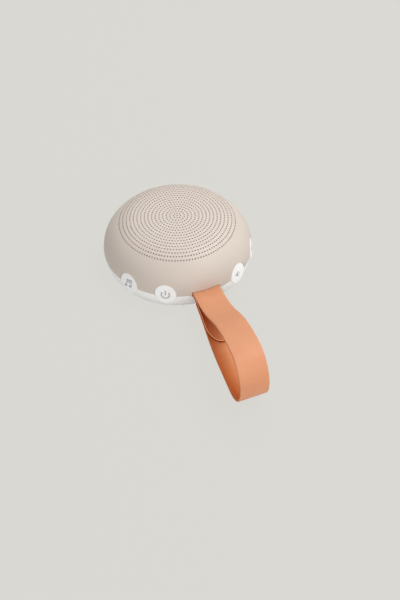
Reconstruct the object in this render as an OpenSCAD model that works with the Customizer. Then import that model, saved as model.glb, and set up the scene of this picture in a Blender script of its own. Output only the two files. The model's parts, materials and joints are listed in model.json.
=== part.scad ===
// Portable white noise sound machine: a round two-part case with a perforated dome, a speaker
// under it, five things round its rim (four push buttons and a leather loop), a rechargeable
// cell and a charging socket. Millimetres, +Z up, origin on the table at the middle of the foot.
// The leather loop lies towards -Y and the charging socket faces +Y.

/* [Case] */
// Widest diameter of the case
body_d = 98.2; // [96:0.2:104]
// Height from the table to the top of the dome
body_h = 38; // [37.5:0.5:42]
// Wall thickness of the cover and of the base
wall = 2; // [1.7:0.1:2.2]
// Height of the joint between the cover and the base
seam_h = 12.8; // [12.4:0.1:13.4]
// Width of the joint line between the cover and the base
seam_gap = 0.2; // [0.1:0.05:0.3]
// How far the base turns in under the case
base_in = 4.6; // [3.6:0.1:5.2]
// Radius of the nearly flat middle of the dome
crown_r = 400; // [300:10:600]
// Radius of the dome between its middle and its shoulder
blend_r = 43.5; // [42:0.5:46]
// Radius of the shoulder
shoulder_r = 21; // [20:0.5:22]
// Slope of the dome where the shoulder starts, in degrees
shoulder_angle = 25; // [23:1:27]
// Thickness of the non-slip foot pad
pad_t = 1.2; // [1:0.1:1.6]
// Height of the base above the table
foot_h = 0.6; // [0.4:0.1:0.8]
// Distance of the foot pad's edge inside the base's edge
pad_in = 3; // [2:0.5:4]

/* [Grille] */
// Number of rings of holes round the middle hole
grille_rings = 16; // [12:1:16]
// Holes added with each ring
grille_step = 4.2; // [3.4:0.2:4.4]
// Distance of the last ring of holes inside the widest part of the case
grille_in = 11.3; // [11:0.1:14]
// Diameter of one hole
hole_d = 1; // [0.8:0.1:1.2]

/* [Buttons] */
// Diameter of a button
button_d = 14; // [13:0.2:14.4]
// Height of the middle of a button
button_h = 13.9; // [13.6:0.1:14.2]
// Angle between neighbours round the rim, in degrees
button_spread = 31; // [30:0.5:33]
// Backward lean of a button's face, in degrees
button_lean = 8; // [4:1:10]
// How far the middle of a button stands out of the case
button_proud = 0.35; // [0.2:0.05:0.6]
// Radius of the gentle crown on a button's face
button_crown = 60; // [50:5:90]
// How far a button travels when it is pressed
button_travel = 0.6; // [0.4:0.05:0.7]
// Clearance round a button
button_gap = 0.35; // [0.3:0.05:0.4]

/* [Strap] */
// Width of the leather
strap_w = 17.8; // [16:0.2:18.6]
// Thickness of the leather
leather_t = 1.6; // [1.4:0.1:1.8]
// How far the loop reaches beyond the case
strap_reach = 87.4; // [82:0.2:96]
// Height of the top of the loop where it lies on a table
loop_h = 35.4; // [32:0.2:38]
// Radius of the loop's upper outer bend
loop_bend = 15; // [13:0.5:16]
// Length of the lower run that lies flat
lay_len = 16; // [12:0.5:20]
// Length of the tongue inside the loop
tongue_len = 31.7; // [28:0.2:36]
// Sideways lean of the loop as it lies, in degrees
strap_lean = 4.2; // [0:0.2:5]
// Height of the middle of the strap's slot
slot_h = 13.4; // [13.2:0.1:13.8]
// Diameter of the pin that the leather is wrapped round
pin_d = 2.5; // [2.2:0.1:2.7]
// Depth of the pin behind the widest part of the case
pin_depth = 6.1; // [6:0.1:6.4]
// Diameter of the snap fastener
snap_d = 10; // [9:0.2:11]

/* [Inside] */
// Thickness of the circuit board
board_t = 1.6; // [1.2:0.1:1.8]
// Height of the underside of the circuit board
board_h = 9.3; // [9:0.1:9.5]
// Outer diameter of the speaker
speaker_d = 60; // [58:0.5:61]
// Depth of the front of the speaker's frame under the top of the dome
speaker_drop = 11.9; // [11.6:0.1:13]
// Room between the circuit board and the speaker's magnet
magnet_room = 2.8; // [2.5:0.1:4]
// Width of the cell
cell_w = 40; // [36:0.5:41]
// Length of the cell
cell_l = 48; // [42:0.5:50]
// Thickness of the cell
cell_t = 5.2; // [4.6:0.1:5.4]
// Thickness of the foam under the cell
foam_t = 0.5; // [0.4:0.1:0.6]
// Distance of the case screws inside the widest part of the case
screw_in = 10.7; // [10.5:0.1:11]
// Diameter of a case screw
screw_d = 2.5; // [2.2:0.1:2.6]

/* [Hidden] */

// Clearances: a fixed piece beside another, a moving piece beside a fixed one, a shaft in a
// bore, and bonded layers
fit = 0.1;
clear = 0.3;
running = 0.05;
bond = 0.1;
// Overshoot that keeps cutting faces off the faces they cut
over = 1;
// Circle resolution: large arcs, and everything else
fine = 240;
round_fn = 96;
small_fn = 32;
hole_fn = 16;

// Dome outline: three arcs that run into each other, from the middle to the shoulder
body_r = body_d / 2;
crown_angle = asin((body_r - blend_r * sin(shoulder_angle) - shoulder_r * (1 - sin(shoulder_angle)))
                   / (crown_r - blend_r));
crown_z = body_h - crown_r;
blend_x = (crown_r - blend_r) * sin(crown_angle);
blend_z = crown_z + (crown_r - blend_r) * cos(crown_angle);
shoulder_x = blend_x + (blend_r - shoulder_r) * sin(shoulder_angle);
shoulder_z = blend_z + (blend_r - shoulder_r) * cos(shoulder_angle);
// Radius of the case at height z, set in by inset, where the shoulder's arc holds
function side_r(z, inset = 0) = shoulder_x + sqrt((shoulder_r - inset) ^ 2 - (z - shoulder_z) ^ 2);

// Holes of the dome, and the cloth that reaches past them
grille_r = body_r - grille_in;
cloth_edge = 0.8;

// Base outline: one arc from the joint to where the base turns under
base_step = 0.2;
rim_r = side_r(seam_h) - base_step;
base_d = body_d - 2 * base_in;
pad_d = base_d - 2 * pad_in;
base_drop = seam_h - foot_h;
base_turn = rim_r - base_d / 2;
base_arc = (base_drop ^ 2 + base_turn ^ 2) / (2 * base_turn);
base_x = rim_r - base_arc;
floor_top = foot_h + wall;
lip_t = 1.2;
lip_up = 1.8;
lip_down = 4;
lip_r = side_r(seam_h, wall) - fit;

// Buttons: their places round the rim, and the radii of their parts
button_angles = [-90 - 2 * button_spread, -90 - button_spread, -90 + button_spread,
                 -90 + 2 * button_spread];
button_face = body_r + button_proud;
button_bore = button_d / 2 + button_gap;
collar_t = 1.25;
collar_r = button_bore + collar_t;
collar_in = body_r - 4.6;
flange_t = 0.8;
flange_r = button_d / 2 + 0.9;
flange_out = collar_in - clear;
flange_in = flange_out - flange_t;
button_shell = 1.4;
button_front_t = 2;
stem_r = 1.5;
stem_in = flange_in - button_travel - 1.2;

// Switches and their plungers stand on the circuit board behind the buttons
board_top = board_h + board_t;
plunger_r = 0.9;
switch_out = stem_in - button_travel - clear;
switch_w = 6;
switch_l = 3.5;
switch_rise = 3;
switch_top = button_h + switch_rise;
plunger_seat = 1.3;
plunger_in = switch_out - plunger_seat;
plunger_bore_in = plunger_in - button_travel - clear;

// Circuit board
board_r = stem_in - 0.2;
board_front_in = 11.7;
board_front = body_r - board_front_in;
socket_w = 8.94;
socket_t = 3.26;
socket_l = 7.35;
socket_in = 2.7;
socket_y = body_r - socket_in;
socket_z = board_h - socket_t / 2;
tab_w = 12;
// Grid that the board's components stand on
chip_grid = 1;
tab_end = sqrt((lip_r - lip_t - clear) ^ 2 - (tab_w / 2) ^ 2);

// Case screws
screw_ring = body_r - screw_in;
screw_angles = [-5, 50, 130, 185];
screw_r = screw_d / 2;
screw_head_r = 2.1;
screw_head_t = 1.6;
screw_seat = floor_top + 1.8;
screw_len = 12;
base_post_r = screw_head_r + 1.3;
cover_post_r = screw_r + 1.55;
post_room = 1.4;
rib_t = 1.6;
rib_low = seam_h + lip_up + 0.6;
rib_steps = 6;

// Speaker, hung under its carrier; the screw posts end below the carrier
speaker_h = body_h - speaker_drop;
speaker_depth = speaker_h - board_top - magnet_room;
gasket_t = 0.3;
carrier_low = speaker_h + gasket_t;
carrier_t = 2;
cover_post_top = carrier_low - post_room;
speaker_r = speaker_d / 2;
carrier_in = speaker_r - 3.5;
frame_flange = 1;
frame_in = speaker_r - 5.4;
plate_t = 1.2;
magnet_r = 14.5;
magnet_t = speaker_depth / 3.1;
plate_r = magnet_r + 1.9;
plate_low = speaker_h - speaker_depth + magnet_t;
roll_r = 2;
roll_x = frame_in - 1.7;
cone_t = 0.5;
cap_r = 8;
cone_low = plate_low + plate_t + 2.2;
speaker_screw_ring = speaker_r - 1.75;
speaker_screw_r = 0.8;
speaker_screw_len = 2;
speaker_head_r = 1.6;
speaker_head_t = 1;
cap_sphere = 11;
cap_seat = 1.1;
terminal_w = 8;
terminal_y = speaker_r - 2.8;

// Cell
cell_low = floor_top + foam_t;
cell_corner = 2;

// Strap: flex_s is the line beside the case where the leather bends when the loop swings
flex_gap = 2.2;
flex_s = body_r + flex_gap;
pin_s = body_r - pin_depth;
pin_r = pin_d / 2;
layer_gap = 0.3;
half_stack = leather_t + layer_gap / 2;
eye_r = pin_r + running + leather_t;
// The eye's flanks run together from just inside its round to the slot
eye_edge = eye_r - 0.3;
eye_end = body_r - wall - 0.6;
slot_half_w = strap_w / 2 + 0.5;
slot_half_h = half_stack + 0.35;
bay_half_h = eye_r + 0.4;
bay_back = pin_s - eye_r - 0.6;
cheek_t = 2.4;
back_t = 1.5;
shelf_t = 1.5;
bay_top = slot_h + 4;
pin_len = 2 * (slot_half_w + cheek_t) - 1.8;
tip_s = body_r + strap_reach;
lean_w = strap_w + 2 * strap_reach * tan(strap_lean) + 4 * over;
top_angle = 5;
end_angle = 8;
arc_steps = 10;
// Points of the loop's outer face as [distance from the middle, height, outward normal]
top_start = [flex_s - half_stack * sin(top_angle), slot_h + half_stack * cos(top_angle)];
low_depth = half_stack + layer_gap + leather_t;
low_end = [flex_s - low_depth * sin(end_angle) + 2.7 * cos(end_angle),
           slot_h - low_depth * cos(end_angle) - 2.7 * sin(end_angle)];
low_foot = [flex_s - low_depth * sin(end_angle), slot_h - low_depth * cos(end_angle)];
top_s = tip_s - loop_bend;
low_bend = loop_h - loop_bend;
bottom_s = tip_s - low_bend;
lay_s = bottom_s - lay_len;
// Steepest slope, in degrees, of an S-curve of two equal arcs that rises dz over dx and starts
// and ends at slopes a0 and a1, and the radius of its arcs
function s_slope(dx, dz, a0, a1) = let (q = dz / dx)
    atan(q) + acos((cos(a0) + cos(a1) + q * (sin(a0) + sin(a1))) / (2 * sqrt(1 + q * q)));
function s_radius(dx, f, a0, a1) = dx / (2 * sin(f) - sin(a0) - sin(a1));
function s_curve(p0, a0, p1, a1) =
    let (d = p1 - p0, f = s_slope(d[0], d[1], a0, a1), r = s_radius(d[0], f, a0, a1))
    [for (i = [0:arc_steps]) let (a = a0 + (f - a0) * i / arc_steps)
         [p0[0] + r * (sin(a) - sin(a0)), p0[1] + r * (cos(a0) - cos(a)), a],
     for (i = [1:arc_steps]) let (a = f + (a1 - f) * i / arc_steps)
         [p1[0] - r * (sin(a) - sin(a1)), p1[1] - r * (cos(a1) - cos(a)), a]];
top_run = [for (p = s_curve(top_start, top_angle, [top_s, loop_h], 0)) [p[0], p[1], 90 + p[2]]];
far_bend = [for (i = [1:2 * arc_steps]) let (a = 90 - 90 * i / arc_steps)
    a >= 0 ? [top_s + loop_bend * cos(a), low_bend + loop_bend * sin(a), a]
           : [bottom_s + low_bend * cos(a), low_bend * (1 + sin(a)), a]];
// The lower run is listed from the case outwards, mirrored in height
low_slope = s_slope(lay_s - low_end[0], low_end[1], end_angle, 0);
low_radius = s_radius(lay_s - low_end[0], low_slope, end_angle, 0);
low_run = [for (p = s_curve([low_end[0], -low_end[1]], end_angle, [lay_s, 0], 0))
    [p[0], -p[1], -90 - p[2]]];
// Both ends are rounded about the line where they bend
knuckle_angles = [150, 130, 110];
function knuckle(r, side) = [for (a = side * knuckle_angles)
    [flex_s + r * cos(a), slot_h + r * sin(a), a]];
loop_path = concat(knuckle(half_stack, 1), top_run, far_bend,
                   [for (i = [len(low_run) - 1:-1:0]) low_run[i]]);
tongue_s = flex_s + tongue_len;
tongue_path = concat(knuckle(low_depth, -1), [[low_foot[0], low_foot[1], -90 - end_angle]],
                     [for (p = low_run) if (p[0] < tongue_s + leather_t) p]);
// Snap fastener: its place on the lower run
snap_s = flex_s + 10.7;
snap_slope = asin(sin(end_angle) + (snap_s - low_end[0]) / low_radius);
snap_z = low_end[1] - low_radius * (cos(end_angle) - cos(snap_slope));
snap_x = -(snap_s - flex_s) * tan(strap_lean);
barrel_r = 2.9;
stud_r = 1.7;
shank_r = 1.4;
snap_cap_t = 0.9;
// The leather curves away from the snap's flat parts by this much at their edge
snap_sag = (snap_d / 2) ^ 2 / (2 * low_radius) + running;

// Leads inside the case: their middle lines and thickness
lead_r = 0.8;
lead_sides = 8;
terminal_low = speaker_h - frame_flange - magnet_t - fit;
plug_w = 6;
plug_l = 4.5;
plug_h = 4.5;
plug_x = 9;
plug_top = board_top + plug_h;
lead_drop = terminal_low - 1;
// Height in the fall of the speaker's lead from its terminal to its plug, from 23 down to 0
function fall(share) = plug_top + (lead_drop - plug_top) * share / 23;
speaker_lead_path = [[0, terminal_y, terminal_low], [0, terminal_y, fall(23)],
    [1, terminal_y, fall(18)], [3, terminal_y, fall(15)], [6, terminal_y, fall(14)],
    [8, terminal_y, fall(11)], [plug_x, terminal_y, fall(6)], [plug_x, terminal_y, fall(0)]];
cell_plug_x = cell_w / 2 + 7;
cell_plug_y = 9;
cell_plug_h = 3.6;
cell_lead_z = cell_low + cell_t / 2;
cell_lead_path = [[cell_w / 2, cell_plug_y, cell_lead_z], [cell_w / 2 + 1.5, cell_plug_y, cell_lead_z],
    [cell_w / 2 + 3, cell_plug_y, cell_lead_z + 0.3], [cell_w / 2 + 4.5, cell_plug_y, board_h - 2.2],
    [cell_plug_x - 1, cell_plug_y, board_h - 1.9], [cell_plug_x, cell_plug_y, board_h - 1.9]];

// ---- shared shapes ----

// Part of a circle between two distances from the axis, down to height low
module arc_slice(x, z, r, from_x, to_x, low) {
    intersection() {
        translate([x, z]) circle(r = r, $fn = fine);
        translate([from_x, low]) square([to_x - from_x, body_h + over - low]);
    }
}

// Half outline of the dome, set in by inset and cut off at height low
module dome_outline(inset, low) {
    crown_end = (crown_r - inset) * sin(crown_angle);
    blend_end = blend_x + (blend_r - inset) * sin(shoulder_angle);
    arc_slice(0, crown_z, crown_r - inset, 0, crown_end, low);
    arc_slice(blend_x, blend_z, blend_r - inset, crown_end, blend_end, low);
    arc_slice(shoulder_x, shoulder_z, shoulder_r - inset, blend_end, body_r + over, low);
}

// Half outline of the base, set in by inset, between two heights
module base_outline(inset, low, high) {
    intersection() {
        union() {
            translate([base_x, seam_h]) circle(r = base_arc - inset, $fn = fine);
            translate([0, low]) square([base_x, high - low]);
        }
        translate([0, low]) square([body_r, high - low]);
    }
}

// Something drawn along +X from the case's axis, turned to an angle round the rim
module at_rim(angle) {
    rotate([0, 0, angle]) children();
}

// Round bar along +X between two distances from the axis, at a height
module rim_bar(r, from_x, to_x, z) {
    translate([from_x, 0, z]) rotate([0, 90, 0]) cylinder(r = r, h = to_x - from_x, $fn = round_fn);
}

// Slab of width w whose side view is drawn as [distance towards -Y, height]
module side_view(w) {
    rotate([90, 0, -90]) translate([0, 0, -w / 2]) linear_extrude(w) children();
}

// Side view of leather that follows a path, between two offsets from its outer face
module ribbon(path, from_o, to_o) {
    polygon(concat([for (p = path) [p[0] + from_o * cos(p[2]), p[1] + from_o * sin(p[2])]],
                   [for (i = [len(path) - 1:-1:0]) let (p = path[i])
                        [p[0] + to_o * cos(p[2]), p[1] + to_o * sin(p[2])]]));
}

// Flat strip from above, square at the case and leaning sideways, with an optional round end
module lean_strip(reach, round_end) {
    body_l = round_end ? reach - strap_w / 2 : reach;
    translate([0, -flex_s, 0]) rotate([0, 0, -strap_lean]) {
        translate([-strap_w / 2, -body_l]) square([strap_w, body_l + 2 * half_stack]);
        if (round_end) translate([0, -body_l]) circle(d = strap_w, $fn = round_fn);
    }
}

module lean_cut(reach, round_end) {
    translate([0, 0, -over]) linear_extrude(loop_h + 2 * over) lean_strip(reach, round_end);
}

// Frame on the lower run's outer face at the snap, with +Z into the loop
module at_snap() {
    translate([snap_x, -snap_s, snap_z]) rotate([snap_slope, 0, 0]) children();
}

// Rectangle with round corners, drawn from exact circles
module round_rect(w, l, r) {
    square([w - 2 * r, l], center = true);
    square([w, l - 2 * r], center = true);
    for (x = [-1, 1], y = [-1, 1])
        translate([x * (w / 2 - r), y * (l / 2 - r)]) circle(r = r, $fn = small_fn);
}

// Slot with round ends
module stadium(w, t) {
    square([w - t, t], center = true);
    for (x = [-1, 1]) translate([x * (w - t) / 2, 0]) circle(d = t, $fn = small_fn);
}

function unit(v) = v / norm(v);
// Direction of a path at its point i
function path_dir(path, i) = unit(path[min(i + 1, len(path) - 1)] - path[max(i - 1, 0)]);

// Round lead swept along a path
module lead(path, side) {
    n = len(path);
    rings = [for (i = [0:n - 1]) let (t = path_dir(path, i), u = unit(cross(side, t)), v = cross(t, u))
        for (k = [0:lead_sides - 1]) let (a = 360 * k / lead_sides)
            path[i] + lead_r * (cos(a) * u + sin(a) * v)];
    sides = [for (i = [0:n - 2], k = [0:lead_sides - 1]) let (j = (k + 1) % lead_sides)
        [i * lead_sides + k, (i + 1) * lead_sides + k, (i + 1) * lead_sides + j, i * lead_sides + j]];
    low_end_face = [for (k = [0:lead_sides - 1]) k];
    high_end_face = [for (k = [lead_sides - 1:-1:0]) (n - 1) * lead_sides + k];
    polyhedron(rings, concat(sides, [low_end_face, high_end_face]));
}

// ---- case ----

// Straight round holes on evenly spaced rings
module grille_holes() {
    pitch = grille_r / grille_rings;
    hole_low = cover_post_top + over;
    translate([0, 0, hole_low]) cylinder(d = hole_d, h = body_h + over - hole_low, $fn = hole_fn);
    for (ring = [1:grille_rings]) {
        count = round(grille_step * ring);
        for (i = [0:count - 1]) rotate([0, 0, 360 * i / count]) translate([ring * pitch, 0, hole_low])
            cylinder(d = hole_d, h = body_h + over - hole_low, $fn = hole_fn);
    }
}

// Window for the strap through the walls of the cover and the base
module slot_cut() {
    translate([-slot_half_w, -body_r - over, slot_h - slot_half_h])
        cube([2 * slot_half_w, pin_depth + over, 2 * slot_half_h]);
}

// Screw posts stand on ribs that reach into the wall, clear of the grille
module cover_posts() {
    rib_edge = [for (i = [0:rib_steps]) let (z = rib_low + (cover_post_top - rib_low) * i / rib_steps)
                    [side_r(z, wall / 2), z]];
    for (angle = screw_angles) at_rim(angle) {
        translate([screw_ring, 0, board_top])
            cylinder(r = cover_post_r, h = cover_post_top - board_top, $fn = round_fn);
        rotate([90, 0, 0]) translate([0, 0, -rib_t / 2]) linear_extrude(rib_t)
            polygon(concat([[screw_ring, cover_post_top], [screw_ring, rib_low]], rib_edge));
    }
}

module cover() {
    color("#d3c6b8") difference() {
        union() {
            rotate_extrude($fn = fine) difference() {
                dome_outline(0, seam_h + seam_gap / 2);
                dome_outline(wall, seam_h - over);
            }
            cover_posts();
        }
        grille_holes();
        for (angle = button_angles) at_rim(angle)
            rim_bar(button_bore, screw_ring, body_r + over, button_h);
        slot_cut();
        for (angle = screw_angles) at_rim(angle) translate([screw_ring, 0, board_top - over])
            cylinder(r = screw_r + running, h = screw_seat + screw_len - board_top + 2 * over, $fn = small_fn);
    }
}

// Acoustic cloth bonded to the inside of the dome, under the holes
module grille_cloth() {
    color("#4b4540") rotate_extrude($fn = fine) intersection() {
        difference() {
            dome_outline(wall + bond, seam_h);
            dome_outline(wall + bond + 0.4, seam_h - over);
        }
        translate([0, carrier_low + carrier_t + fit]) square([grille_r + cloth_edge, body_h]);
    }
}

// Collars that guide the buttons, and the bay that holds the strap's pin
module rim_fittings() {
    intersection() {
        rotate_extrude($fn = fine) {
            base_outline(wall / 2, foot_h, seam_h);
            dome_outline(wall + clear, seam_h - over);
        }
        union() {
            for (angle = button_angles) at_rim(angle) rim_bar(collar_r, collar_in, body_r, button_h);
            translate([-slot_half_w - cheek_t, -body_r, foot_h])
                cube([2 * (slot_half_w + cheek_t), body_r - bay_back + back_t, bay_top - foot_h]);
        }
    }
}

module base() {
    color("#eceaec") difference() {
        union() {
            rotate_extrude($fn = fine) difference() {
                base_outline(0, foot_h, seam_h - seam_gap / 2);
                base_outline(wall, floor_top, seam_h + over);
            }
            difference() {
                translate([0, 0, seam_h - lip_down]) cylinder(r = lip_r, h = lip_down + lip_up, $fn = fine);
                translate([0, 0, seam_h - lip_down - over])
                    cylinder(r = lip_r - lip_t, h = lip_down + lip_up + 2 * over, $fn = fine);
            }
            rim_fittings();
            for (angle = screw_angles) at_rim(angle) translate([screw_ring, 0, foot_h + wall / 2])
                cylinder(r = base_post_r, h = board_h - foot_h - wall / 2, $fn = round_fn);
        }
        for (angle = button_angles) at_rim(angle)
            rim_bar(button_bore, screw_ring, body_r + over, button_h);
        slot_cut();
        // Inside of the bay: the leather's eye above a shelf, open to the case below it, and to
        // the front above the slot
        translate([-slot_half_w, -body_r - over, slot_h])
            cube([2 * slot_half_w, pin_depth + over, bay_top - slot_h + over]);
        translate([-slot_half_w, -side_r(seam_h, wall), slot_h - bay_half_h])
            cube([2 * slot_half_w, side_r(seam_h, wall) - bay_back, bay_top]);
        translate([-slot_half_w, -base_x - base_arc + 2 * wall + 2, floor_top])
            cube([2 * slot_half_w, base_x + base_arc - 2 * wall - 2 - bay_back + back_t + over,
                  slot_h - bay_half_h - shelf_t - floor_top]);
        pin_bar(pin_r + running, pin_len + 2 * fit);
        for (angle = screw_angles) at_rim(angle) translate([screw_ring, 0, 0]) {
            cylinder(r = screw_r + fit, h = board_h + over, $fn = small_fn);
            cylinder(r = screw_head_r + fit, h = screw_seat, $fn = small_fn);
        }
        cylinder(r = pad_d / 2 + fit, h = pad_t, $fn = fine);
        translate([0, body_r + over, socket_z]) rotate([90, 0, 0])
            linear_extrude(body_r + over - socket_y + 3 * wall)
                stadium(socket_w + 2 * clear, socket_t + 2 * clear);
    }
}

module foot_pad() {
    color("#b9b4ae") cylinder(d = pad_d, h = pad_t, $fn = fine);
}

// ---- buttons ----

// One button: a hollow cap with a flange behind its collar and a stem towards its switch
module button(angle) {
    face_s = button_face - button_crown * cos(button_lean);
    face_z = button_h - button_crown * sin(button_lean);
    color("#f1f0f3") at_rim(angle) intersection() {
        union() {
            difference() {
                union() {
                    rim_bar(button_d / 2, flange_in, body_r + 2 * wall, button_h);
                    rim_bar(flange_r, flange_in, flange_out, button_h);
                }
                rim_bar(button_d / 2 - button_shell, flange_in - over, button_face - button_front_t, button_h);
            }
            rim_bar(stem_r, stem_in, button_face - button_front_t + 0.2, button_h);
        }
        translate([face_s, 0, face_z]) sphere(r = button_crown, $fn = fine);
    }
}

module plunger(angle) {
    color("#2b2b2d") at_rim(angle) rim_bar(plunger_r, plunger_in, stem_in, button_h);
}

module button_sound() { button(button_angles[0]); }
module button_power() { button(button_angles[1]); }
module button_volume_down() { button(button_angles[2]); }
module button_volume_up() { button(button_angles[3]); }
module plunger_sound() { plunger(button_angles[0]); }
module plunger_power() { plunger(button_angles[1]); }
module plunger_volume_down() { plunger(button_angles[2]); }
module plunger_volume_up() { plunger(button_angles[3]); }

module switches() {
    color("#3a3a3d") for (angle = button_angles) at_rim(angle) difference() {
        translate([switch_out - switch_l, -switch_w / 2, board_top])
            cube([switch_l, switch_w, switch_top - board_top]);
        rim_bar(plunger_r + running, plunger_bore_in, switch_out + over, button_h);
    }
}

// ---- electronics ----

module circuit_board() {
    color("#2f6b4a") difference() {
        translate([0, 0, board_h]) linear_extrude(board_t) difference() {
            union() {
                intersection() {
                    circle(r = board_r, $fn = fine);
                    translate([-board_r, -board_front]) square([2 * board_r, 2 * board_r]);
                }
                translate([-tab_w / 2, 0]) square([tab_w, tab_end]);
            }
            for (angle = screw_angles) rotate(angle)
                translate([screw_ring, 0]) circle(r = screw_r + 2 * fit, $fn = small_fn);
        }
    }
}

module board_chips() {
    color("#26262a") translate([0, 0, board_top]) {
        for (c = [[0, 0, 7, 7, 0.9], [-11, 6, 5, 6, 1.6], [10, -6, 4, 4, 0.8], [-9, -9, 4, 4, 2],
                  [0, 33, 5, 3, 1.1], [-24, 12, 3, 5, 1.2], [24, -14, 4, 6, 1.5]])
            translate(chip_grid * [c[0] - c[2] / 2, c[1] - c[3] / 2, 0]) cube(chip_grid * [c[2], c[3], c[4]]);
        for (p = [[-27, -8, 0], [20, 14, 0], [-6, 24, 0]])
            translate(chip_grid * p) cylinder(d = 4 * chip_grid, h = 2.3 * chip_grid, $fn = small_fn);
    }
}

// Charging socket under the board: a rolled shell, a back wall and a contact tongue
module charging_socket() {
    shell_t = 0.3;
    back = 1;
    color("#b7b9bc") translate([0, socket_y, socket_z]) rotate([90, 0, 0]) {
        difference() {
            linear_extrude(socket_l) stadium(socket_w, socket_t);
            translate([0, 0, -over]) linear_extrude(socket_l + over - back)
                stadium(socket_w - 2 * shell_t, socket_t - 2 * shell_t);
        }
        translate([-3.35, -0.35, 0.8]) cube([6.7, 0.7, socket_l - back - 0.7]);
    }
}

module cell() {
    color("#8f969c") translate([0, 0, cell_low]) linear_extrude(cell_t) round_rect(cell_w, cell_l, cell_corner);
}

module cell_foam() {
    color("#55565a") translate([0, 0, floor_top]) linear_extrude(foam_t)
        round_rect(cell_w - 4, cell_l - 4, cell_corner);
}

module cell_lead() { color("#b8352c") lead(cell_lead_path, [0, 1, 0]); }
module speaker_lead() { color("#303033") lead(speaker_lead_path, [0, 1, 0]); }

module lead_plugs() {
    color("#e6e2d6") {
        translate([plug_x - plug_w / 2, terminal_y - plug_l / 2, board_top]) cube([plug_w, plug_l, plug_h]);
        translate([cell_plug_x, cell_plug_y - plug_w / 2, board_h - cell_plug_h])
            cube([plug_l, plug_w, cell_plug_h]);
    }
}

// ---- speaker ----

module at_speaker_screws() {
    for (i = [0:3]) rotate([0, 0, 45 + 90 * i]) translate([speaker_screw_ring, 0, 0]) children();
}

// Ring bonded inside the shoulder of the cover, which the speaker is screwed to from below
module speaker_carrier() {
    color("#2e2e31") difference() {
        rotate_extrude($fn = fine) intersection() {
            dome_outline(wall + bond, seam_h);
            translate([carrier_in, carrier_low]) square([body_r, carrier_t]);
        }
        at_speaker_screws() translate([0, 0, carrier_low - over])
            cylinder(r = speaker_screw_r + running, h = carrier_t + over - 0.3, $fn = small_fn);
    }
}

module speaker_gasket() {
    color("#1f1f21") difference() {
        translate([0, 0, speaker_h]) cylinder(r = speaker_r - 0.3, h = gasket_t, $fn = round_fn);
        translate([0, 0, speaker_h - over]) cylinder(r = carrier_in + fit, h = gasket_t + 2 * over, $fn = round_fn);
        at_speaker_screws() translate([0, 0, speaker_h - over])
            cylinder(r = speaker_screw_r + fit, h = gasket_t + 2 * over, $fn = small_fn);
    }
}

// Pressed steel frame: a flange, a conical basket with four windows, and a back plate
module speaker_frame() {
    basket_t = 1.2;
    low = plate_low + plate_t;
    high = speaker_h - frame_flange;
    color("#55585c") difference() {
        rotate_extrude($fn = round_fn) {
            translate([frame_in, high]) square([speaker_r - frame_in, frame_flange]);
            polygon([[plate_r - basket_t, plate_low], [plate_r, plate_low], [frame_in + basket_t, high],
                     [frame_in + basket_t, speaker_h], [frame_in, speaker_h]]);
            translate([cap_r / 2, plate_low]) square([plate_r - cap_r / 2 - basket_t / 2, plate_t]);
        }
        for (i = [0:3]) rotate([0, 0, 90 * i + 45]) translate([plate_r, -5, low + 0.8])
            cube([speaker_r, 10, high - low - 2.4]);
        at_speaker_screws() translate([0, 0, high - over])
            cylinder(r = speaker_screw_r + running, h = frame_flange + 2 * over, $fn = small_fn);
    }
}

module speaker_magnet() {
    color("#3c3e42") translate([0, 0, plate_low - magnet_t]) {
        cylinder(r = magnet_r - 0.8, h = 0.8, $fn = round_fn);
        translate([0, 0, 0.8]) cylinder(r = magnet_r, h = magnet_t - 0.8, $fn = round_fn);
    }
}

// Cone with a half-round rubber surround that rests on the frame's inner edge
module speaker_cone() {
    color("#242427") rotate_extrude($fn = round_fn) {
        translate([roll_x, speaker_h]) intersection() {
            difference() {
                circle(r = roll_r, $fn = round_fn);
                circle(r = roll_r - cone_t, $fn = round_fn);
            }
            translate([-roll_r - over, 0]) square([2 * (roll_r + over), roll_r + over]);
        }
        translate([roll_x + roll_r - cone_t, speaker_h]) square([carrier_in - roll_x - roll_r, cone_t]);
        polygon([[cap_r - 0.4, cone_low], [cap_r + 0.4, cone_low], [roll_x - roll_r + cone_t, speaker_h],
                 [roll_x - roll_r + cone_t, speaker_h + cone_t], [roll_x - roll_r, speaker_h + cone_t]]);
    }
}

module speaker_dust_cap() {
    drop = sqrt(cap_sphere ^ 2 - cap_r ^ 2);
    color("#1b1b1d") translate([0, 0, cone_low + cap_seat]) rotate_extrude($fn = round_fn) intersection() {
        translate([0, -drop]) difference() {
            circle(r = cap_sphere, $fn = round_fn);
            circle(r = cap_sphere - cone_t, $fn = round_fn);
        }
        square([cap_r, cap_sphere]);
    }
}

module speaker_terminal() {
    color("#a9743a") translate([-terminal_w / 2, terminal_y - 0.5, terminal_low])
        cube([terminal_w, 1, speaker_h - frame_flange - terminal_low]);
}

module speaker_screws() {
    color("#9a9ca0") at_speaker_screws() {
        translate([0, 0, speaker_h - frame_flange])
            cylinder(r = speaker_screw_r, h = frame_flange + speaker_screw_len, $fn = small_fn);
        translate([0, 0, speaker_h - frame_flange - speaker_head_t])
            cylinder(r = speaker_head_r, h = speaker_head_t, $fn = small_fn);
    }
}

module case_screws() {
    color("#9a9ca0") for (angle = screw_angles) at_rim(angle) translate([screw_ring, 0, screw_seat]) {
        cylinder(r = screw_r, h = screw_len, $fn = small_fn);
        translate([0, 0, -screw_head_t]) cylinder(r = screw_head_r, h = screw_head_t, $fn = small_fn);
    }
}

// ---- strap ----

// Round bar across the strap at its pin
module pin_bar(r, w) {
    translate([-w / 2, -pin_s, slot_h]) rotate([0, 90, 0]) cylinder(r = r, h = w, $fn = round_fn);
}

module strap_pin() {
    color("#a3a5a8") pin_bar(pin_r, pin_len);
}

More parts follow.
